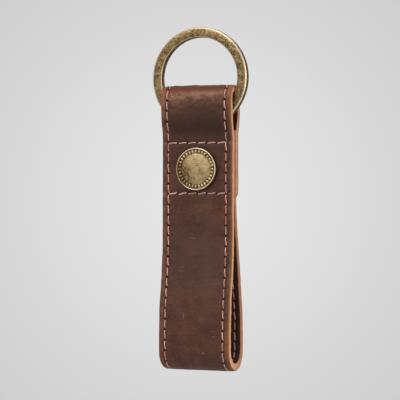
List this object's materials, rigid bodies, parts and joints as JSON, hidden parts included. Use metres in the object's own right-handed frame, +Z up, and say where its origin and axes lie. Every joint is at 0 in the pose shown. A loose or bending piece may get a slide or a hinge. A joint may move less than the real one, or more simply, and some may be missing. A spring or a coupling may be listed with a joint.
{
  "type": "leather key strap on a split ring",
  "caption": "Leather key strap folded over a flat split ring: a stitched, riveted tab above and an open loop below, with a round antique-brass cap stud on the front.",
  "frame": {"origin": "the hang point: the top of the split ring's hole, at the middle of its thickness", "axes": "+Z up along the hanging strap, -Y the front with the cap stud, +X to the right seen from the front"},
  "size_m": [0.035, 0.0142, 0.1184],
  "materials": {
    "leather": "oiled pull-up brown leather",
    "antique_brass": "antiqued, satin",
    "thread": "waxed sewing thread"
  },
  "bodies": {
    "key_ring": {"split_ring": "antique_brass"},
    "strap": {"leather_strap": "leather", "left_seam_needle_thread": "thread", "left_seam_bobbin_thread": "thread", "right_seam_needle_thread": "thread", "right_seam_bobbin_thread": "thread", "upper_row_needle_thread": "thread", "upper_row_bobbin_thread": "thread", "lower_row_needle_thread": "thread", "lower_row_bobbin_thread": "thread", "stud_cap": "antique_brass", "stud_hub": "antique_brass", "stud_tack": "antique_brass"}
  },
  "joints": [
    {"name": "ring_turn", "type": "hinge", "parent": "key_ring", "child": "strap", "pos_m": [0, 0, -0.014], "axis": [0, 1, 0], "continuous": true}
  ]
}
